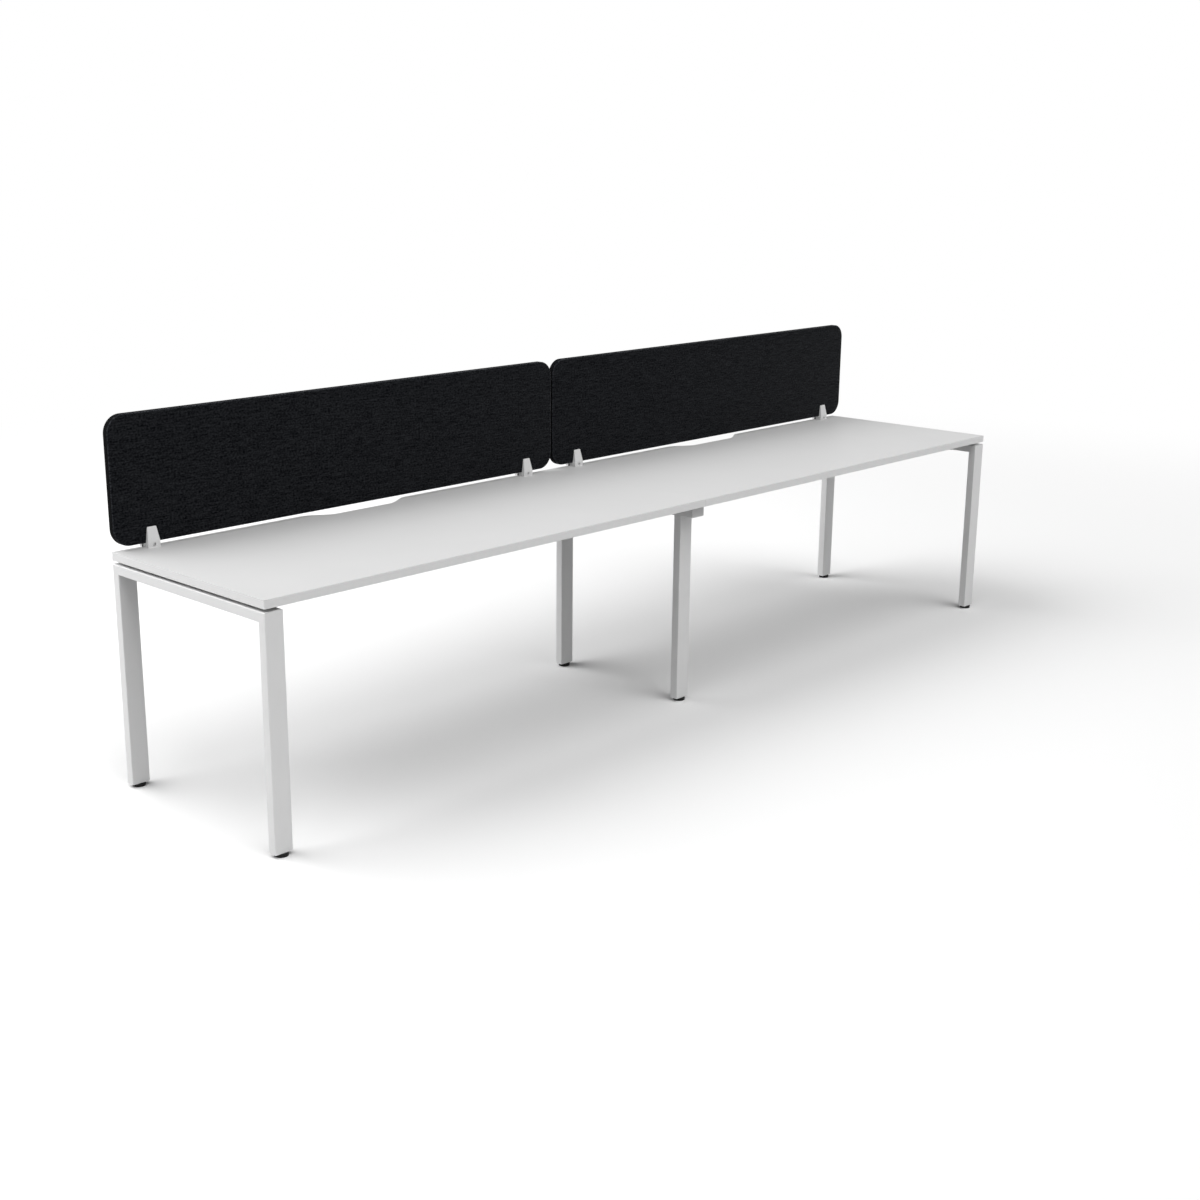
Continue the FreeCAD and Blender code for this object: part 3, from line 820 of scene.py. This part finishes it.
boxes = solids_of("worktop_screws")
low, high = boxes[0]
rod = wound_rod(
    "screw_rod",
    radius=0.002,
    depth=0.0007,
    pitch=0.0018,
    length=high[Z] - low[Z] - SCREW_HEAD,
    tip_length=0.004,
    tip_share=0.05,
)
head = round_head("screw_head", radius=(high[X] - low[X]) / 2, height=SCREW_HEAD, rim=0.0016, steps=5)
for turn in (0, math.radians(90)):
    punch = begin_piece(
        "recess_punch",
        bpy.ops.mesh.primitive_cube_add,
        size=1,
        location=(0, 0, -SCREW_HEAD),
        rotation=(0, 0, turn),
        scale=RECESS_SIZE,
    )
    bpy.ops.object.mode_set(mode="EDIT")
    pick_faces(punch, lambda centre, normal: normal.z > FLAT_FACE)
    bpy.ops.transform.resize(value=(RECESS_TAPER, RECESS_TAPER, 1))
    bpy.ops.object.mode_set(mode="OBJECT")
    pressed(head, punch)
fits = []
for low, high in boxes:
    seat = (middle(low, high, X), middle(low, high, Y), low[Z] + SCREW_HEAD)
    fits.append((seat, (0, 0, 0)))
fit_all(joined([rod, head], "screw"), "cross_head_screws", "worktop_screws", fits)

# %% [markdown]
# ## The floor
# The photograph is a studio picture: a white floor that runs into a white background, and broad soft
# light. The floor is darkest right under the desk. A white floor would throw light back up under the
# desk again and again and fill that shade, so here it gives back a part of the light once. Far out, the
# floor turns into plain white, so that no horizon shows.

# %% Helpers for the floor
ALLOWED_BOUNCES = 1


def looked_at(tree):
    """1 where a surface is seen by the camera, in a reflection or through glass, and else 0."""
    ray = tree.nodes.new("ShaderNodeLightPath")
    seen = ray.outputs["Is Camera Ray"]
    for kind in ("Is Glossy Ray", "Is Transmission Ray"):
        either = tree.nodes.new("ShaderNodeMath")
        either.operation = "MAXIMUM"
        tree.links.new(seen, either.inputs[0])
        tree.links.new(ray.outputs[kind], either.inputs[1])
        seen = either.outputs[0]
    return seen


def bounced_again(tree):
    """1 for light that matt surfaces have thrown back more often than is allowed, and else 0."""
    ray = tree.nodes.new("ShaderNodeLightPath")
    again = tree.nodes.new("ShaderNodeMath")
    again.operation = "GREATER_THAN"
    again.inputs[1].default_value = ALLOWED_BOUNCES
    tree.links.new(ray.outputs["Diffuse Depth"], again.inputs[0])
    return again.outputs[0]


def between(tree, value, first, second):
    """Shader that goes from a first to a second shader with a value."""
    node = tree.nodes.new("ShaderNodeMixShader")
    tree.links.new(value, node.inputs[0])
    tree.links.new(first, node.inputs[1])
    tree.links.new(second, node.inputs[2])
    return node.outputs[0]


def matt(tree, level):
    """Plain matt grey."""
    node = tree.nodes.new("ShaderNodeBsdfDiffuse")
    node.inputs["Color"].default_value = (*grey(level), 1)
    return node.outputs[0]


# %% Build the floor
FLOOR_SIZE = 120.0
FLOOR_WHITE = 0.98
FLOOR_BOUNCE = 0.47
FADE_START = 2.5
FADE_END = 7.0

floor = begin_piece("studio_floor", bpy.ops.mesh.primitive_plane_add, size=FLOOR_SIZE)
floor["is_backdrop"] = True
floor_finish = bpy.data.materials.new("studio_floor")
floor_finish.use_nodes = True
floor.data.materials.append(floor_finish)
tree = floor_finish.node_tree
away = tree.nodes.new("ShaderNodeVectorMath")
away.operation = "LENGTH"
tree.links.new(tree.nodes.new("ShaderNodeTexCoord").outputs["Object"], away.inputs[0])
fade = tree.nodes.new("ShaderNodeMapRange")
fade.interpolation_type = "SMOOTHSTEP"
fade.inputs["From Min"].default_value = FADE_START
fade.inputs["From Max"].default_value = FADE_END
tree.links.new(away.outputs["Value"], fade.inputs["Value"])
far_white = tree.nodes.new("ShaderNodeEmission").outputs[0]
seen_floor = between(tree, fade.outputs["Result"], matt(tree, FLOOR_WHITE), far_white)
unseen_floor = between(tree, bounced_again(tree), matt(tree, FLOOR_BOUNCE), matt(tree, 0))
whole_floor = between(tree, looked_at(tree), unseen_floor, seen_floor)
tree.links.new(whole_floor, tree.nodes["Material Output"].inputs["Surface"])
print("floor:", FLOOR_SIZE, "metres")

# %% [markdown]
# ## Sky and lamps
# The shades in the photograph tell where its light comes from: the ends of the desk that look left are
# brightest, and the tops darken towards the screens. The strongest lamp is a wide disc behind the left
# end of the desk. It keeps the shadow in front of the screens, and because it isn't far off, its light
# falls away towards the right end. The other lamps are so far off that their light is even. One is high
# in front, and two weak ones, on the left and low in front, lighten the upright faces. A lamp's spread
# is its width in the sky, and the wider it is, the softer are its shadows. A faint sky fills what is
# left, and is plain white only where it is looked at.

# %% Build the sky
SKY_LIGHT = 0.02

world = bpy.data.worlds.new("studio_sky")
bpy.context.scene.world = world
world.use_nodes = True
tree = world.node_tree
sky = tree.nodes["Background"]
sky.inputs["Color"].default_value = (*grey(1), 1)
strength = tree.nodes.new("ShaderNodeMapRange")
strength.inputs["To Min"].default_value = SKY_LIGHT
strength.inputs["To Max"].default_value = 1.0
tree.links.new(looked_at(tree), strength.inputs["Value"])
tree.links.new(strength.outputs["Result"], sky.inputs["Strength"])
print("sky:", SKY_LIGHT)

# %% Build the lamps
LAMPS = {
    "high_front_lamp": {"light": 1.40, "tilt": 25, "turn": 0, "spread": 50},
    "left_lamp": {"light": 0.75, "tilt": 50, "turn": -90, "spread": 50},
    "low_front_lamp": {"light": 0.54, "tilt": 65, "turn": 0, "spread": 45},
}
DISC_WATTS = 760
DISC_SIZE = 9.3
DISC_TILT = 40
DISC_TURN = -135
DISC_DISTANCE = 10.0


def add_lamp(name, kind, light, tilt, turn):
    """Lamp at the origin that shines down, tilted and then turned about the upright."""
    bpy.ops.object.light_add(type=kind, rotation=(math.radians(tilt), 0, math.radians(turn)))
    lamp = bpy.context.object
    lamp.name = name
    lamp.data.energy = light
    return lamp


for name, setting in LAMPS.items():
    lamp = add_lamp(name, "SUN", setting["light"], setting["tilt"], setting["turn"])
    lamp.data.angle = math.radians(setting["spread"])

disc = add_lamp("disc_lamp", "AREA", DISC_WATTS, DISC_TILT, DISC_TURN)
disc.location = DISC_DISTANCE * disc.rotation_euler.to_matrix().col[Z]
disc.data.shape = "DISK"
disc.data.size = DISC_SIZE
bpy.context.scene.view_settings.view_transform = "Standard"
print("lamps:", sorted(LAMPS), "and", disc.name)

# %% [markdown]
# ## Size
# The dressed desk must be as big as the frame, so the box of the dressed desk is measured beside the
# frame's box, and its size is printed.

# %% Measure the sizes
visual_low, visual_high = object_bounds()
boxes = {
    "cad": [list(cad_low), list(cad_high)],
    "visual": [list(visual_low), list(visual_high)],
}
print("visual box:", [round(side, 3) for side in visual_high - visual_low], "metres")
